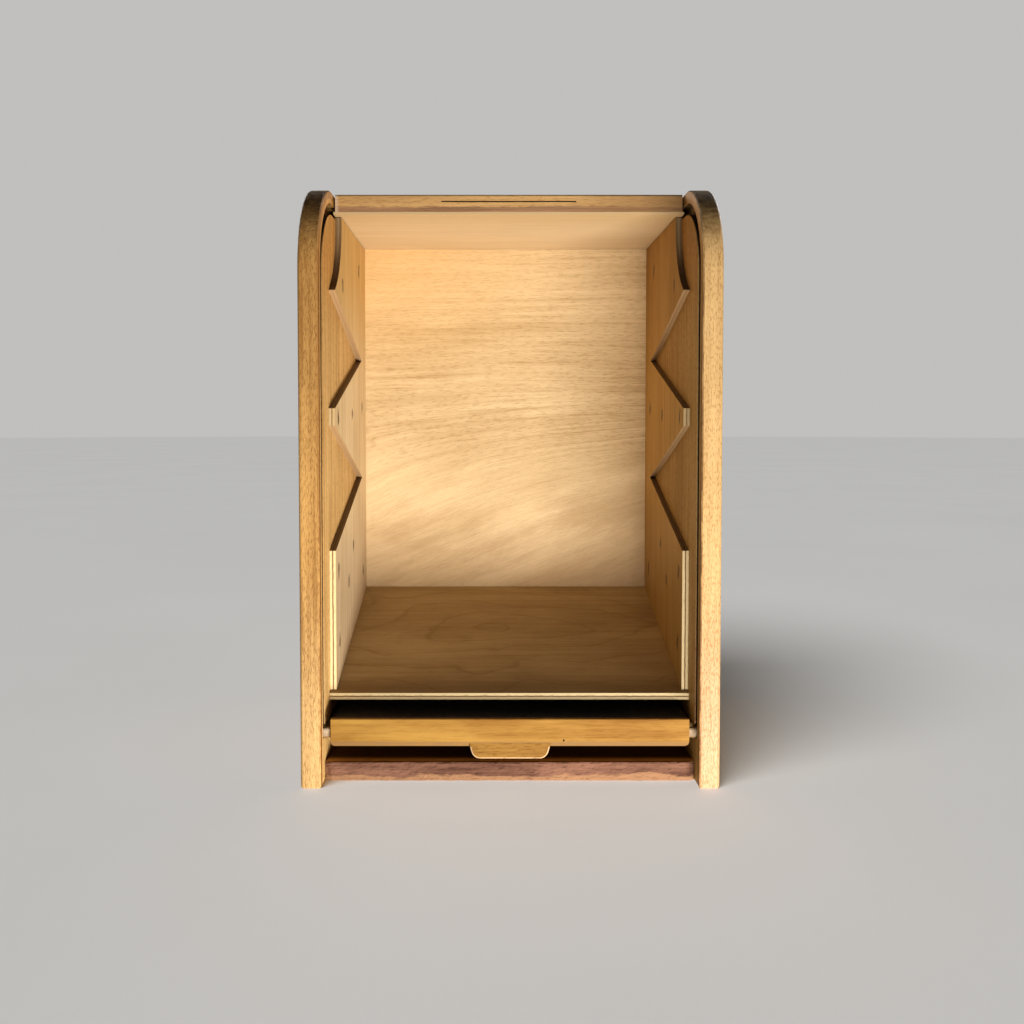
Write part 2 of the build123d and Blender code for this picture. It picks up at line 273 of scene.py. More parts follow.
def finish_wood(graph, colour, height, shade, gloss=0.45, depth=0.0001, sheen=0.22):
    roughness = graph.between(shade, 0.0, 1.0, gloss, gloss + 0.14)
    graph.shader.inputs["Specular IOR Level"].default_value = sheen
    return graph.finish(colour, roughness, height, depth)


def solid_wood(name, light, dark, grain, gloss=0.45, depth=0.0001, sheen=0.22, wear_and_painted_light=None, **layers):
    graph = Graph(name)
    colour, height, shade = wood_layers(graph, light, dark, grain, **layers)
    if wear_and_painted_light:
        colour = wear_and_painted_light(graph, colour)
    return finish_wood(graph, colour, height, shade, gloss, depth, sheen)


def facing(graph, letter):
    return graph.math("ABSOLUTE", graph.axis(letter, graph.normal))


def paint(material, *nodes):
    for node in nodes:
        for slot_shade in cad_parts[node].material_slots:
            slot_shade.material = material


# ---------------------------------------------------------------- plywood

PLY_PALE = (0.72, 0.55, 0.28)
PLY_CORE = (0.17, 0.080, 0.030)


def ply_stripes(graph, depth_in):
    """The cut edge of three-ply: two pale outer plies and a dark core, with painted shade along both rims.
    depth_in runs from 0 to 1.
    """
    rough = graph.noise(graph.stretched((300.0, 300.0, 300.0)), detail=3.0)
    wander = graph.math("ADD", depth_in, graph.between(rough, 0.2, 0.8, -0.035, 0.035))
    core = graph.band(wander, 0.41, 0.60, 0.04)
    # painted shade: both rims of the cut edge are darkened like the shaded gaps beside them
    painted_rim = graph.math("SUBTRACT", 1.0, graph.band(wander, 0.07, 0.93, 0.05))
    fleck = graph.between(rough, 0.42, 0.75, 0.0, 0.4)
    pale = graph.mix(fleck, PLY_PALE, tint(PLY_PALE, 0.66))
    pale = graph.mix(graph.math("MULTIPLY", painted_rim, 0.55), pale, tint(PLY_PALE, 0.4))
    return graph.mix(core, pale, PLY_CORE)


def ply(name, light, dark, grain, face_axis, depth_in, gloss=0.42, edge_painted_light=None, wear_and_painted_light=None, field=None,
        **layers):
    """A three-ply sheet: veneer on its two faces and stripes on its cut edges."""
    graph = Graph(name)
    if field:
        layers["field"] = field(graph)
    colour, height, shade = wood_layers(graph, light, dark, grain, **layers)
    if wear_and_painted_light:
        colour = wear_and_painted_light(graph, colour)
    edge = ply_stripes(graph, depth_in(graph))
    if edge_painted_light:
        edge = edge_painted_light(graph, edge)
    face = graph.between(facing(graph, face_axis), 0.55, 0.75)
    return finish_wood(graph, graph.mix(face, edge, colour), height, shade, gloss)


def liner_depth(graph):
    across = graph.math("ABSOLUTE", graph.axis("X"))
    return graph.math("DIVIDE", graph.math("SUBTRACT", across, LINER_X), PLY)


def floor_depth(graph):
    """0 on the sloping floor's upper face and 1 on its underside."""
    drop = graph.math("SUBTRACT", FLOOR_HIGH.z, graph.axis("Z"))
    back = graph.math("SUBTRACT", FLOOR_HIGH.y, graph.axis("Y"))
    fall = graph.math("MULTIPLY", back, math.tan(FLOOR_RISE))
    return graph.math("DIVIDE", graph.math("SUBTRACT", drop, fall), PLY / math.cos(FLOOR_RISE))


def dark_bite(graph, edge):
    """Painted light and shade on the linings' cut edges: the concave corner's edge is painted almost black as
    shade, with a paler middle; the edges are darker higher up; down-facing edges get a painted highlight and
    up-facing ones painted shade.
    """
    y_off = graph.math("SUBTRACT", graph.axis("Y"), BITE_CENTRE[0])
    z_off = graph.math("SUBTRACT", graph.axis("Z"), BITE_CENTRE[1])
    near = graph.between(graph.hypot(y_off, z_off), BITE_R + 0.3 * MM, BITE_R + 0.9 * MM, 1.0, 0.0)
    middle = graph.band(liner_depth(graph), 0.40, 0.60, 0.07)
    # painted shade: the corner's edge faces up, away from the light, and is made near black
    stain = graph.mix(middle, (0.034, 0.018, 0.007), (0.22, 0.155, 0.095))
    edge = graph.mix(near, edge, stain)
    high_up = graph.between(graph.axis("Z"), 0.13, 0.17, 0.0, 0.5)
    edge = graph.mix(high_up, edge, (0.30, 0.19, 0.085))
    slope = graph.axis("Z", graph.normal)
    # painted highlight on down-facing edges
    edge = graph.mix(graph.between(slope, -0.6, -0.2, 0.72, 0.0), edge, (0.42, 0.25, 0.12))
    # painted shade on up-facing edges
    return graph.mix(graph.between(slope, 0.2, 0.6, 0.0, 0.86), edge, (0.085, 0.045, 0.020))


def islands(node):
    """The centre of each separate solid in a node's mesh."""
    build = bmesh.new()
    build.from_mesh(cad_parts[node].data)
    waiting = set(build.verts)
    centres = []
    while waiting:
        group = [waiting.pop()]
        for vertex in group:
            for edge in vertex.link_edges:
                other = edge.other_vert(vertex)
                if other in waiting:
                    waiting.remove(other)
                    group.append(other)
        centres.append(sum((vertex.co for vertex in group), Vector()) / len(group))
    build.free()
    return sorted(centres, key=tuple)


def brad_stains(graph, colour, sign):
    """A small dark stain round each brad."""
    width, length = 3.2 * MM, 5.6 * MM
    wobble = graph.noise(graph.stretched((180.0, 180.0, 180.0)), detail=2.0)
    flat = graph.stretched((0.0, 1.0 / width, 1.0 / length))
    nearest = None
    for centre in islands("liner_brads"):
        if centre.x * sign < 0:
            continue
        reach = graph.distance_to(flat, (0.0, centre.y / width, centre.z / length))
        nearest = reach if nearest is None else graph.math("MINIMUM", nearest, reach)
    nearest = graph.math("ADD", nearest, graph.between(wobble, 0.2, 0.8, -0.4, 0.4))
    mark = graph.between(nearest, 0.5, 1.05, 0.94, 0.0)
    return graph.mix(mark, colour, (0.055, 0.024, 0.009))


def liner_light_and_stains(sign, upper, middle, lower):
    """The lining is deeper amber towards its top, and palest half way up: painted light and shade by height.
    """
    def wear_and_painted_light(graph, colour):
        # painted light and shade by height
        shade = graph.mix(graph.between(graph.axis("Z"), 0.09, 0.18), lower, middle)
        shade = graph.mix(graph.between(graph.axis("Z"), 0.23, 0.32), shade, upper)
        return brad_stains(graph, graph.mix(1.0, colour, shade, "MULTIPLY"), sign)
    return wear_and_painted_light


def dress_linings():
    paint(ply("liner_ply_left", (0.74, 0.48, 0.22), (0.52, 0.30, 0.12), "Z", "X", liner_depth, seed=1.3,
              edge_painted_light=dark_bite,
              wear_and_painted_light=liner_light_and_stains(-1, (0.88, 0.86, 0.62), (1.14, 1.36, 1.70), (0.92, 1.10, 1.50)),
              lines=0.18, figure=(1.4, 12.0, 8.0), flecks=0.06), "liner_left")
    # the right lining is the same ply in darker colours: painted shade
    paint(ply("liner_ply_right", (0.60, 0.36, 0.115), (0.40, 0.225, 0.062), "Z", "X", liner_depth, seed=4.3,
              edge_painted_light=dark_bite,
              wear_and_painted_light=liner_light_and_stains(1, (0.66, 0.55, 0.20), (0.94, 0.92, 0.68), (0.74, 0.72, 0.66)),
              lines=0.2, figure=(1.4, 12.0, 8.0), flecks=0.06), "liner_right")
    paint(ply("floor_ply", (0.53, 0.385, 0.195), (0.315, 0.205, 0.086), "X", "Z", floor_depth, seed=2.2,
              wear_and_painted_light=floor_wear, lines=0.22, figure=(0, 0, 52.0), field=floor_oval, streaks=0.3, tone=0.5,
              flecks=0.18, fleck_scale=(160.0, 900.0)), "sloping_floor")
    paint(back_ply(), "inner_back")
    paint(solid_wood("ceiling_ply", (0.70, 0.515, 0.295), (0.58, 0.405, 0.215), "X", gloss=0.5, tone=0.35,
                     streaks=0.35, threads=0.25, seed=9.4, wear_and_painted_light=ceiling_wear), "ceiling_lining")
    paint(solid_wood("outer_back_ply", (0.58, 0.40, 0.2), (0.38, 0.23, 0.10), "Z", seed=12.0, lines=0.3,
                     figure=(1.3, 13.0, 20.0), flecks=0.15, gloss=0.5), "outer_back")


def ceiling_wear(graph, colour):
    """The ceiling's veneer has yellowed near the front."""
    near = graph.between(graph.axis("Y"), FRONT + 62 * MM, FRONT + 110 * MM, 0.75, 0.0)
    return graph.mix(near, colour, (0.52, 0.345, 0.160))


def floor_oval(graph):
    """Growth lines in ovals round the floor's middle, drawn out from side to side."""
    x = graph.math("MULTIPLY", graph.math("ADD", graph.axis("X"), 15 * MM), 0.38)
    y = graph.math("SUBTRACT", graph.axis("Y"), 12 * MM)
    wander = graph.noise(graph.stretched((9.0, 16.0, 0.0)), detail=2.5, roughness=0.55)
    return graph.math("ADD", graph.hypot(x, y), graph.math("MULTIPLY", wander, 0.075))


def floor_wear(graph, colour):
    """Along its front the floor is darker, and fine scratches cross it."""
    lip = graph.between(graph.axis("Y"), FRONT + 38 * MM, FRONT + 52 * MM, 0.55, 0.0)
    colour = graph.mix(lip, colour, (0.16, 0.085, 0.02))
    scratch = graph.noise(graph.stretched((30.0, 420.0, 100.0), (0, 0, 0.5)), detail=2.0)
    return graph.mix(graph.between(scratch, 0.70, 0.76, 0.0, 0.12), colour, (0.62, 0.45, 0.28))


def back_ply():
    """Pale veneer with level streaks above, and a figure that climbs to the right in its lower third."""
    graph = Graph("back_ply")
    x, y, z = (graph.axis(letter) for letter in "XYZ")
    climb = graph.between(z, 0.12, 0.25, 0.40, 0.015)
    sway = graph.between(graph.noise(graph.stretched((5.0, 5.0, 9.0)), detail=1.5), 0.3, 0.7, -0.0014, 0.0014)
    level = graph.total(graph.math("SUBTRACT", z, graph.math("MULTIPLY", x, climb)), sway)
    bent = graph.joined(x, y, level)
    light, dark = (0.83, 0.620, 0.345), (0.48, 0.31, 0.138)
    fine, height, shade = wood_layers(graph, light, dark, "X", seed=6.6, tone=0.36, streaks=0.34,
                                      threads=0.26, flecks=0.26, fleck_scale=(170.0, 900.0), knots=0.7,
                                      source=bent)
    soft, _, _ = wood_layers(graph, light, dark, "X", seed=2.6, tone=0.55, streaks=0.16, threads=0.08,
                             flecks=0.12, fleck_scale=(260.0, 900.0), source=bent)
    colour = graph.mix(graph.between(z, 0.15, 0.21), soft, fine)
    low_band = graph.between(z, 0.20, 0.13, 0.0, 0.62)
    wave = graph.noise(graph.stretched((17.0, 17.0, 64.0), source=bent), detail=4.0, roughness=0.65)
    colour = graph.mix(graph.math("MULTIPLY", graph.between(wave, 0.42, 0.68), low_band), colour, dark)
    amber = graph.math("MULTIPLY", graph.between(z, 0.22, 0.34), graph.between(x, 0.06, -0.11))
    colour = graph.mix(graph.math("MULTIPLY", amber, 0.55), colour, (0.84, 0.52, 0.20))
    # painted shade: the back is darker towards its foot, where the floor's front edge shades it
    painted_low_shade = graph.between(z, 0.20, 0.09, 0.0, 0.42)
    colour = graph.mix(painted_low_shade, colour, (0.40, 0.23, 0.105))
    return finish_wood(graph, colour, height, shade, gloss=0.5)


# ---------------------------------------------------------------- solid boards

def depth_behind(graph):
    return graph.math("SUBTRACT", graph.axis("Y"), FRONT)


def depth_inside(graph):
    """How far a point lies inside the sides' outline, measured from the front, the corner arc and the top."""
    along_front = graph.math("MAXIMUM", graph.math("SUBTRACT", CORNER_R, depth_behind(graph)), 0.0)
    above = graph.math("MAXIMUM", graph.math("SUBTRACT", graph.axis("Z"), TOP - CORNER_R), 0.0)
    return graph.math("SUBTRACT", CORNER_R, graph.hypot(along_front, above))


def side_wear_and_painted_light(worn, inner, lip, foot):
    """Grooves painted dark as shade, a worn inner arris, and a browner top round the corner arc, painted
    shade on its upward faces.

    inner tints the inner face, lighter on the left side and darker on the right as painted light and shade;
    lip the strip of it in front of the groove, paled and greyed as a painted sheen; and foot the side's lower
    end."""
    def wear_and_painted_light(graph, colour):
        lower = graph.math("MULTIPLY", graph.between(graph.axis("Z"), 0.03, 0.15, 1.0, 0.0),
                           graph.between(facing(graph, "Y"), 0.5, 0.9))
        colour = graph.mix(lower, colour, graph.mix(1.0, colour, foot, "MULTIPLY"))
        flush = graph.between(facing(graph, "X"), 0.80, 0.95)
        near = graph.between(graph.math("ABSOLUTE", graph.axis("X")),
                             INNER_X + 0.2 * MM, INNER_X + 0.7 * MM, 1.0, 0.0)
        outer_strip = graph.between(depth_inside(graph), 4.4 * MM, 5.4 * MM)
        # painted sheen: the strip in front of the groove is paler and greyer, most round the arc
        lip_sheen = graph.mix(graph.between(graph.axis("Z"), 0.27, 0.33), lip, (0.84, 0.74, 0.58))
        # the inner face is darker and more amber higher up
        inner_by_height = graph.mix(graph.between(graph.axis("Z"), 0.26, 0.32), inner,
                         tint(inner, 1.0, (0.92, 0.74, 0.52)))
        tinted = graph.mix(1.0, colour, graph.mix(outer_strip, lip_sheen, inner_by_height), "MULTIPLY")
        colour = graph.mix(graph.math("MULTIPLY", flush, near), colour, tinted)
        across = graph.math("SUBTRACT", graph.math("ABSOLUTE", graph.axis("X")), INNER_X)
        # painted shade: the grooves are made near black
        groove_shade = graph.product(
            graph.between(depth_inside(graph), 4.6 * MM, 5.6 * MM),
            graph.band(across, 0.6 * MM, 5.6 * MM, 0.25 * MM),
            graph.between(graph.axis("Z"), 4 * MM, 6 * MM),
            graph.between(depth_behind(graph), 49 * MM, 53 * MM, 1.0, 0.25),
        )
        rough = graph.noise(graph.stretched((160.0, 160.0, 90.0)), detail=4.0, roughness=0.65)
        nick = graph.between(rough, 0.38, 0.66)
        slant = graph.band(facing(graph, "X"), 0.50, 0.90, 0.05)
        arris = graph.product(slant, graph.between(across, 1.2 * MM, 2.0 * MM, 1.0, 0.0), nick)
        colour = graph.mix(arris, colour, worn)
        # painted shade on the upward-facing top round the corner arc
        upward = graph.between(graph.axis("Z", graph.normal), 0.12, 0.75, 0.0, 1.0)
        crown_shade = graph.product(upward, graph.between(graph.axis("Z"), 0.30, 0.325),
                              graph.between(depth_behind(graph), 48 * MM, 90 * MM, 1.0, 0.3))
        end_grain = graph.noise(graph.stretched((210.0, 700.0, 700.0)), detail=3.0, roughness=0.6)
        blotch = graph.total(graph.between(rough, 0.3, 0.7, 0.15, 0.5),
                             graph.between(end_grain, 0.38, 0.62, 0.1, 0.6))
        colour = graph.mix(graph.product(crown_shade, blotch, 0.9), colour, (0.125, 0.064, 0.020))
        return graph.mix(groove_shade, colour, (0.030, 0.015, 0.006))
    return wear_and_painted_light


def top_tone_and_shade(graph, colour):
    """The front edge's lower third is redder and darker, its right end has painted shade, and the slot is
    painted black inside as shade.
    """
    ragged = graph.noise(graph.stretched((60.0, 60.0, 300.0)), detail=3.0)
    height = graph.math("ADD", graph.axis("Z"), graph.between(ragged, 0.2, 0.8, -0.9 * MM, 0.9 * MM))
    lower = graph.between(height, TOP - 8.3 * MM, TOP - 6.9 * MM, 0.88, 0.0)
    grain = graph.noise(graph.stretched((18.0, 60.0, 900.0)), detail=3.0)
    band = graph.mix(graph.between(grain, 0.3, 0.7), (0.36, 0.19, 0.095), (0.20, 0.095, 0.048))
    colour = graph.mix(lower, colour, band)
    # painted shade towards the right end
    shaded = graph.between(graph.axis("X"), 0.02, 0.09, 0.0, 0.66)
    colour = graph.mix(shaded, colour, (0.26, 0.135, 0.050))
    pale = graph.math("MULTIPLY", graph.between(graph.axis("X"), -0.1085, -0.1065, 1.0, 0.0), 0.7)
    colour = graph.mix(pale, colour, (0.60, 0.45, 0.30))
    # painted shade inside the slot
    slot_shade = graph.math("MULTIPLY", graph.band(height, TOP - 5.2 * MM, TOP - 3.6 * MM, 0.3 * MM),
                      graph.between(depth_behind(graph), 58.6 * MM, 59.2 * MM))
    return graph.mix(slot_shade, colour, (0.02, 0.01, 0.005))


def dress_case():
    # the inner tints paint light on the left side's inner face and shade on the right one
    left = solid_wood("side_oak_left", (0.64, 0.355, 0.112), (0.30, 0.140, 0.034), "Z", flecks=0.42,
                      fleck_scale=(300.0, 1700.0), streaks=0.5, threads=0.4, tone=0.35, depth=0.00016,
                      sheen=0.13,
                      wear_and_painted_light=side_wear_and_painted_light((0.30, 0.135, 0.038), (1.38, 1.58, 1.9), (0.52, 0.38, 0.20),
                                     (1.02, 1.16, 1.5)))
    right = solid_wood("side_oak_right", (0.60, 0.385, 0.165), (0.31, 0.165, 0.052), "Z", threads=0.3,
                       flecks=0.42, fleck_scale=(360.0, 1300.0), streaks=0.25, tone=0.3, depth=0.00016,
                       sheen=0.13, seed=3.1,
                       wear_and_painted_light=side_wear_and_painted_light((0.20, 0.10, 0.040), (0.84, 0.80, 0.58), (0.58, 0.49, 0.34),
                                      (0.90, 0.74, 0.88)))
    paint(left, "side_left")
    paint(right, "side_right")
    paint(solid_wood("top_oak", (0.70, 0.42, 0.165), (0.42, 0.225, 0.078), "X", seed=5.0, flecks=0.35,
                     fleck_scale=(180.0, 900.0), streaks=0.45, tone=0.4, wear_and_painted_light=top_tone_and_shade), "top_board")
    paint(solid_wood("cleat_pine", (0.62, 0.42, 0.2), (0.42, 0.24, 0.1), "Y", seed=8.0, lines=0.3),
          "floor_cleat_left", "floor_cleat_right")
    paint(solid_wood("dowel_beech", (0.62, 0.45, 0.26), (0.45, 0.28, 0.13), "X", flecks=0.3),
          "top_dowels", "base_dowels")
    paint(solid_wood("pull_dowel_beech", (0.62, 0.45, 0.26), (0.45, 0.28, 0.13), "Z", flecks=0.3),
          "pull_dowels")


# ---------------------------------------------------------------- the shutter

BAR_LIGHT = (0.345, 0.186, 0.037)
BAR_DARK = (0.175, 0.074, 0.012)
TENON_X = 106.0 * MM


def bar_wear_and_highlight(graph, colour):
    """Pale worn tenons, and a lighter bevel and rims on the underside, a painted highlight."""
    rough = graph.noise(graph.stretched((220.0, 220.0, 220.0)), detail=4.0, roughness=0.65)
    tenon = graph.between(graph.math("ABSOLUTE", graph.axis("X")), TENON_X, TENON_X + 0.8 * MM)
    worn = graph.mix(graph.between(rough, 0.35, 0.65), (0.40, 0.30, 0.20), (0.22, 0.14, 0.08))
    colour = graph.mix(tenon, colour, worn)
    # painted highlight on the down-facing bevel and rims
    slant = graph.math("MULTIPLY", graph.axis("Z", graph.normal), -1.0)
    bevel_highlight = graph.math("MULTIPLY", graph.band(slant, 0.35, 0.92, 0.08),
                       graph.between(rough, 0.2, 0.6, 0.45, 0.9))
    return graph.mix(bevel_highlight, colour, (0.215, 0.120, 0.048))


def pull_rim_highlight(graph, colour):
    """The pull's rounded lower rim is painted pale: a painted highlight."""
    rough = graph.noise(graph.stretched((260.0, 260.0, 260.0)), detail=3.0, roughness=0.6)
    turned = graph.band(facing(graph, "Y"), 0.30, 0.93, 0.05)
    # painted highlight along the lower rim
    painted_rim = graph.product(turned, graph.between(graph.axis("Z"), 22 * MM, 21 * MM),
                        graph.between(rough, 0.3, 0.55, 0.5, 1.0))
    return graph.mix(painted_rim, colour, (0.54, 0.36, 0.21))


def dress_shutter():
    paint(solid_wood("bar_honey", BAR_LIGHT, BAR_DARK, "X", gloss=0.5, sheen=0.06, seed=7.7, tone=0.75,
                     streaks=0.38, flecks=0.12, fleck_scale=(120.0, 900.0), wear_and_painted_light=bar_wear_and_highlight), "lead_bar")
    paint(solid_wood("pull_honey", tint(BAR_LIGHT, 0.86), tint(BAR_DARK, 0.82), "X", gloss=0.5, sheen=0.06,
                     seed=2.9, tone=0.4, streaks=0.4, flecks=0.3, fleck_scale=(160.0, 800.0), wear_and_painted_light=pull_rim_highlight),
          "finger_pull")
    paint(slat_wood(), *[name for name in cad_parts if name.startswith("slat_")])


def slat_wood():
    return solid_wood("slat_honey", BAR_LIGHT, BAR_DARK, "X", gloss=0.4, seed=11.0, tone=0.6, streaks=0.4,
                      flecks=0.2, fleck_scale=(120.0, 900.0))


def steel(name, bright, dull, metal):
    graph = Graph(name)
    scratch = graph.noise(graph.stretched((900.0, 900.0, 900.0)), detail=4.0)
    colour = graph.mix(graph.between(scratch, 0.3, 0.7), bright, dull)
    graph.shader.inputs["Metallic"].default_value = metal
    return graph.finish(colour, graph.between(scratch, 0.3, 0.7, 0.35, 0.6), scratch, 0.00002)


def dress_steel():
    """The linings' brads have rusted dark; the rest are dull."""
    paint(steel("rusted_steel", (0.075, 0.040, 0.020), (0.035, 0.018, 0.009), 0.2), "liner_brads")
    paint(steel("dull_steel", (0.24, 0.21, 0.19), (0.12, 0.09, 0.07), 0.9),
          "cleat_brads", "outer_back_screws")


# ---------------------------------------------------------------- pieces made here

TEAR = 0.45 * MM             # how deep the base board's front edge is torn
SPLINTER = 0.22 * MM
ARRIS = 0.5 * MM
CHIP_REACH = 3.2 * MM        # how far the chipped corners reach along the base board

def piece(name, build, material, smooth=True):
    mesh = bpy.data.meshes.new(name)
    bmesh.ops.recalc_face_normals(build, faces=build.faces)
    build.to_mesh(mesh)
    build.free()
    for polygon in mesh.polygons:
        polygon.use_smooth = smooth
    mesh.materials.append(material)
    body = bpy.data.objects.new(name, mesh)
    bpy.context.collection.objects.link(body)
    return body


def loft(build, rings):
    """Skins a row of closed rings, each a list of points, and caps both ends."""
    rows = [[build.verts.new(point) for point in ring] for ring in rings]
    for first, second in zip(rows, rows[1:]):
        for index in range(len(first)):
            following = (index + 1) % len(first)
            build.faces.new((first[index], first[following], second[following], second[index]))
    build.faces.new(list(reversed(rows[0])))
    build.faces.new(rows[-1])


def base_board():
    """The base is a rough-sawn board: its front edge is torn and its two front corners are chipped."""
    start, end = low("base_board"), high("base_board")
    steps_x, steps_z = 300, 14
    rings = []
    for column in range(steps_x + 1):
        x = start.x + (end.x - start.x) * column / steps_x
        to_end = min(x - start.x, end.x - x)
        ring = []
        for row in range(steps_z + 1):
            share = row / steps_z
            z = start.z + (end.z - start.z) * share
            torn = noise.fractal(Vector((x * 120, 3.0, z * 420)), 0.8, 2.0, 4)
            splinter = noise.noise(Vector((x * 500, 9.0, z * 2200)))
            inward = TEAR * (1 + torn) + SPLINTER * splinter
            ragged = noise.noise(Vector((z * 900, x * 90, 5.0)))
            chip = max(0.0, 1 - to_end / CHIP_REACH) * (1.4 + 1.6 * ragged)
            arris = max(0.0, abs(share - 0.5) - 0.42) / 0.08
            inward += chip * MM + ARRIS * arris ** 2 + 0.3 * MM * max(0.0, torn) * arris
            ring.append((x, start.y + max(inward, 0.05 * MM), z))
        ring += [(x, end.y, end.z), (x, end.y, start.z)]
        rings.append(ring)
    build = bmesh.new()
    loft(build, rings)
    board = piece("base_board_rough", build, base_wood(), smooth=False)
    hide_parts("base_board")
    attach(board, CASE)


def base_wood():
    """Rough board: mauve-brown stain, paler orange in a streak along the front's foot, with painted light and
    shadow on its top.
    """
    graph = Graph("base_rough")
    colour, height, shade = wood_layers(graph, (0.225, 0.108, 0.066), (0.070, 0.029, 0.018), "X", seed=15.0,
                                        tone=0.9, streaks=0.2, flecks=0.13, fleck_scale=(110.0, 420.0))
    ragged = graph.noise(graph.stretched((26.0, 60.0, 110.0)), detail=5.0, roughness=0.65)
    front = graph.between(depth_behind(graph), 13.5 * MM, 15 * MM, 1.0, 0.0)
    foot = graph.between(graph.axis("Z"), 1.0 * MM, 6.5 * MM, 0.26, -0.10)
    # a paler orange streak along the front's foot
    foot_streak = graph.between(graph.math("ADD", ragged, foot), 0.58, 0.70)
    colour = graph.mix(graph.product(foot_streak, front, 0.9), colour, (0.25, 0.130, 0.066))
    # painted light and shadow: the top is lit just behind the front edge and near black further back
    top = graph.between(depth_behind(graph), 13.5 * MM, 16 * MM, 0.0, 0.88)
    top_light_and_shadow = graph.mix(graph.between(depth_behind(graph), 15 * MM, 24 * MM),
                      (0.66, 0.36, 0.11), (0.05, 0.022, 0.007))
    colour = graph.mix(top, colour, top_light_and_shadow)
    pitted = graph.math("ADD", height, ragged)
    return finish_wood(graph, colour, pitted, shade, gloss=0.72, depth=0.0003, sheen=0.08)


def woven():
    """Plain weave: threads over and under at right angles, run along the curtain and across it."""
    graph = Graph("canvas_weave")
    thread = 2 * math.pi / (1.1 * MM)
    across = graph.math("SINE", graph.math("MULTIPLY", graph.axis("X"), thread))
    run = graph.math("ADD", graph.axis("Y"), graph.axis("Z"))
    lengthwise = graph.math("SINE", graph.math("MULTIPLY", run, thread))
    weave = graph.product(across, lengthwise, 0.5)
    lint = graph.noise(graph.stretched((420.0, 420.0, 420.0)), detail=4.0, roughness=0.7)
    stain = graph.noise(graph.stretched((22.0, 22.0, 22.0)), detail=3.0)
    shade = graph.total(graph.math("MULTIPLY", weave, 0.5), lint, graph.between(stain, 0.4, 0.7, 0.0, 0.3))
    colour = graph.mix(graph.between(shade, 0.2, 1.1), (0.30, 0.25, 0.17), (0.13, 0.10, 0.065))
    graph.shader.inputs["Sheen Weight"].default_value = 0.25
    roughness = graph.between(lint, 0.2, 0.8, 0.85, 0.98)
    return graph.finish(colour, roughness, graph.math("ADD", weave, lint), 0.0003)


CANVAS_T = 0.8 * MM
CANVAS_BEND_R = 4.5 * MM


def canvas():
    """The shutter's backing, laid on the slats: under the floor, round a bend and up behind the back."""
    start, end = low("canvas_backing"), high("canvas_backing")
    level = start.z + CANVAS_T / 2
    upright = end.y - CANVAS_T / 2
    bend_steps, flat_steps = 8, 70
    bend_y = upright - CANVAS_BEND_R
    run = [(start.y + (bend_y - start.y) * step / flat_steps, level) for step in range(flat_steps)]
    for step in range(bend_steps + 1):
        turn = math.pi / 2 * step / bend_steps
        run.append((upright - CANVAS_BEND_R * (1 - math.sin(turn)),
                    level + CANVAS_BEND_R * (1 - math.cos(turn))))
    climb = end.z - level - CANVAS_BEND_R
    run += [(upright, level + CANVAS_BEND_R + climb * step / flat_steps) for step in range(1, flat_steps + 1)]
    build = bmesh.new()
    columns = 60
    rows = []
    for y, z in run:
        row = []
        for column in range(columns + 1):
            x = start.x + (end.x - start.x) * column / columns
            row.append(build.verts.new((x, y, z)))
        rows.append(row)
    for first, second in zip(rows, rows[1:]):
        for column in range(columns):
            build.faces.new((first[column], first[column + 1], second[column + 1], second[column]))
    cloth = piece("canvas_woven", build, woven())
    shell = cloth.modifiers.new("thickness", "SOLIDIFY")
    shell.thickness = CANVAS_T * 0.9
    shell.offset = 0.0
    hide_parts("canvas_backing")
    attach(cloth, CASE)


CURTAIN_SLATS = 27
CURTAIN_FOLD = 4.8 * MM      # the height it folds into at rest, inside the bar and its tenons
CURTAIN_Z = 29.5 * MM        # the fold's middle height
CURTAIN_DEPTH = 12.05 * MM   # its middle, behind the sides' front edge
CURTAIN_T = 3.5 * MM
CURTAIN_HALF = 114.3 * MM
SLAT_BEVEL = 0.9 * MM
WEB_HALF = 105 * MM
WEB_BACK = 0.2 * MM          # the web's two faces, in front of the slats' backs
WEB_FRONT = 1.2 * MM


def front_curtain():
    """The slats at the front. With the shutter down they fold away inside the bar.

    Raised, the curtain passes through the finger pull and its dowels, and ends inside the bar."""
    middle_y = FRONT + CURTAIN_DEPTH
    front_y, back_y = middle_y - CURTAIN_T / 2, middle_y + CURTAIN_T / 2
    foot = CURTAIN_Z - CURTAIN_FOLD / 2

    def folded(share):
        """The height at rest of the point that rises by this share of the bar's travel."""
        part = 0.5 - math.sin(math.asin(1 - 2 * share) / 3)
        return foot + CURTAIN_FOLD * part

    build = bmesh.new()
    pitch = 1.0 / CURTAIN_SLATS
    ease = 0.14 * pitch
    slat = 0.94 * pitch
    for number in range(CURTAIN_SLATS):
        lower = number * pitch
        upper = lower + slat
        section = [
            (back_y, folded(lower)),
            (front_y + SLAT_BEVEL, folded(lower)),
            (front_y, folded(lower + ease)),
            (front_y, folded(upper - ease)),
            (front_y + SLAT_BEVEL, folded(upper)),
            (back_y, folded(upper)),
        ]
        stations = [-CURTAIN_HALF + 2 * CURTAIN_HALF * step / 12 for step in range(13)]
        loft(build, [[(x, y, z) for y, z in section] for x in stations])
    web_rows = []
    steps = 54
    for step in range(steps + 1):
        z = folded(step / steps)
        web_rows.append([(-WEB_HALF, back_y - WEB_FRONT, z), (WEB_HALF, back_y - WEB_FRONT, z),
                         (WEB_HALF, back_y - WEB_BACK, z), (-WEB_HALF, back_y - WEB_BACK, z)])
    loft(build, web_rows)
    curtain = piece("front_curtain", build, slat_wood(), smooth=False)
    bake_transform(curtain)


# ---------------------------------------------------------------- studio

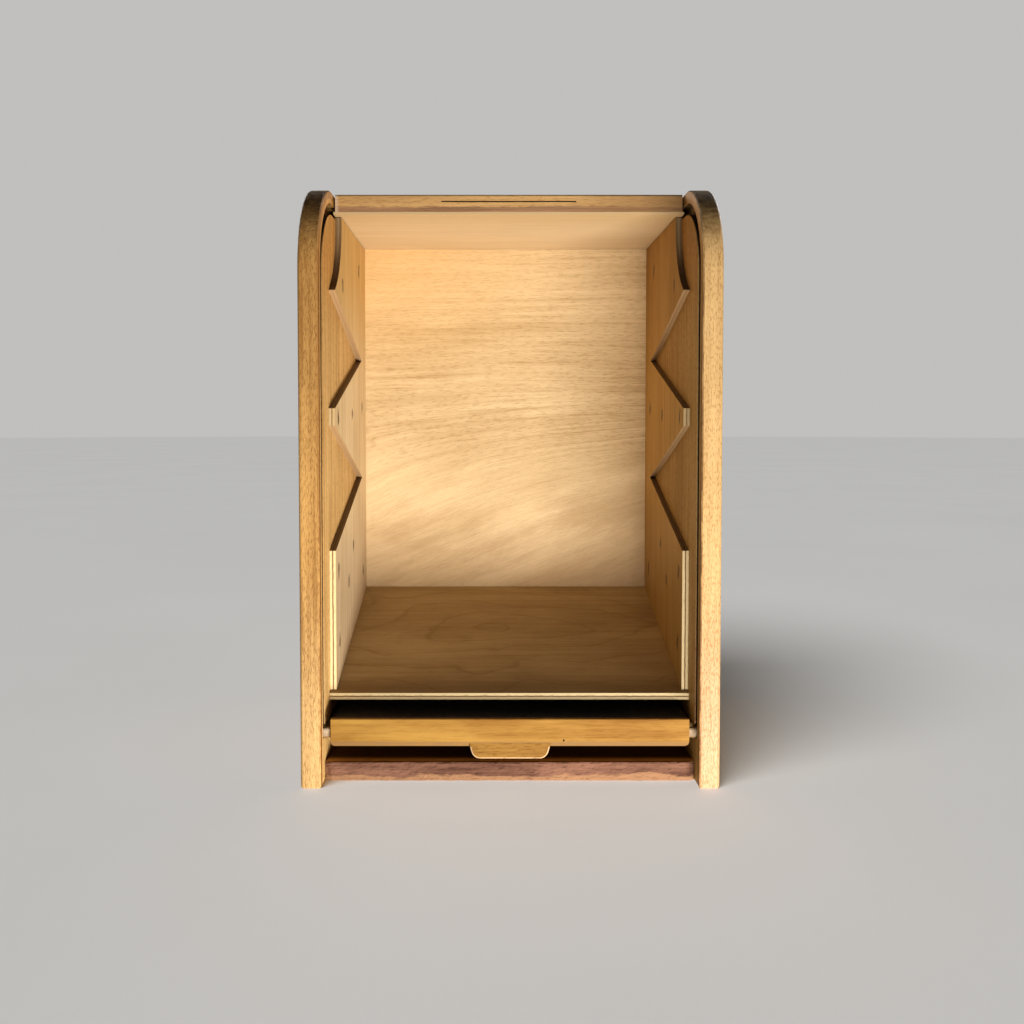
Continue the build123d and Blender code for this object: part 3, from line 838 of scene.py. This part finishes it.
WORLD_SHOWN = (0.53, 0.525, 0.515)
WORLD_GLOW = 0.045
KEY_PLACE = (0.17, FRONT - 0.42, -0.11)
KEY_POWER = 6.6
BACK_POWER = 23.0
SUN_POWER = 3.0
SUN_ANGLE = math.radians(38.0)
GROUND_R = 14.0


def ground():
    build = bmesh.new()
    bmesh.ops.create_circle(build, cap_ends=True, segments=96, radius=GROUND_R)
    mesh = bpy.data.meshes.new("ground")
    build.to_mesh(mesh)
    build.free()
    floor = bpy.data.objects.new("ground", mesh)
    bpy.context.collection.objects.link(floor)
    floor.location.z = CAD_BOX[0].z
    graph = Graph("ground_paper")
    mottle = graph.noise(graph.stretched((3.0, 3.0, 3.0)), detail=4.0)
    colour = graph.mix(mottle, (0.66, 0.655, 0.64), (0.60, 0.595, 0.58))
    mesh.materials.append(graph.finish(colour, graph.between(mottle, 0, 1, 0.85, 0.95), mottle, 0.0001))
    return floor


def area_light(name, place, target, size, power, colour=(1.0, 1.0, 1.0)):
    data = bpy.data.lights.new(name, "AREA")
    data.shape = "RECTANGLE"
    data.size, data.size_y = size
    data.energy = power
    data.color = colour
    lamp = bpy.data.objects.new(name, data)
    bpy.context.collection.objects.link(lamp)
    lamp.location = place
    lamp.rotation_euler = (Vector(target) - Vector(place)).to_track_quat("-Z", "Y").to_euler()
    lamp.visible_camera = False
    return lamp


def spare(lamp, floor):
    """The lamp neither lights the floor nor is shaded by it."""
    for kind in ("receiver_collection", "blocker_collection"):
        group = bpy.data.collections.new(f"{lamp.name}_{kind}")
        group.objects.link(floor)
        group.collection_objects[0].light_linking.link_state = "EXCLUDE"
        setattr(lamp.light_linking, kind, group)


def studio(floor):
    world = bpy.data.worlds.new("studio")
    world.use_nodes = True
    tree = world.node_tree
    shown = tree.nodes["Background"]
    shown.inputs["Color"].default_value = (*WORLD_SHOWN, 1.0)
    glow = tree.nodes.new("ShaderNodeBackground")
    glow.inputs["Color"].default_value = (0.95, 0.97, 1.0, 1.0)
    glow.inputs["Strength"].default_value = WORLD_GLOW
    path = tree.nodes.new("ShaderNodeLightPath")
    mixed = tree.nodes.new("ShaderNodeMixShader")
    tree.links.new(path.outputs["Is Camera Ray"], mixed.inputs[0])
    tree.links.new(glow.outputs[0], mixed.inputs[1])
    tree.links.new(shown.outputs[0], mixed.inputs[2])
    tree.links.new(mixed.outputs[0], tree.nodes["World Output"].inputs[0])
    bpy.context.scene.world = world
    key = area_light("low_key", KEY_PLACE, (0.0, 0.0, 0.12), (0.26, 0.16), KEY_POWER, (1.0, 0.965, 0.91))
    spare(key, floor)
    spare(area_light("back_left", (-1.1, 1.3, 1.1), (0.0, 0.1, 0.1), (0.9, 0.7), BACK_POWER), floor)
    spare(area_light("back_right", (1.2, 1.2, 1.2), (0.0, 0.1, 0.1), (0.9, 0.7), BACK_POWER), floor)
    data = bpy.data.lights.new("ground_sun", "SUN")
    data.energy = SUN_POWER
    data.angle = SUN_ANGLE
    sun = bpy.data.objects.new("ground_sun", data)
    bpy.context.collection.objects.link(sun)
    sun.rotation_euler = (math.radians(30.0), math.radians(-22.0), 0.0)
    only = bpy.data.collections.new("ground_sun_receiver")
    only.objects.link(floor)
    sun.light_linking.receiver_collection = only


def camera():
    """The photograph's view: level with the middle of the box, a little left, pitched slightly down."""
    data = bpy.data.cameras.new("camera")
    data.sensor_width = 36.0
    data.lens = 34.77
    data.shift_x = 0.0210
    data.shift_y = -0.0515
    data.clip_start, data.clip_end = 0.01, 50.0
    eye = bpy.data.objects.new("camera", data)
    bpy.context.collection.objects.link(eye)
    eye.location = (-0.0115, FRONT - 0.570, 0.2141)
    eye.rotation_euler = (math.radians(90.0 - 2.177), 0.0, 0.0)
    bpy.context.scene.camera = eye


camera()
studio(ground())
dress_case()
dress_linings()
dress_shutter()
dress_steel()
base_board()
canvas()
front_curtain()
bpy.context.scene.view_settings.view_transform = "Standard"
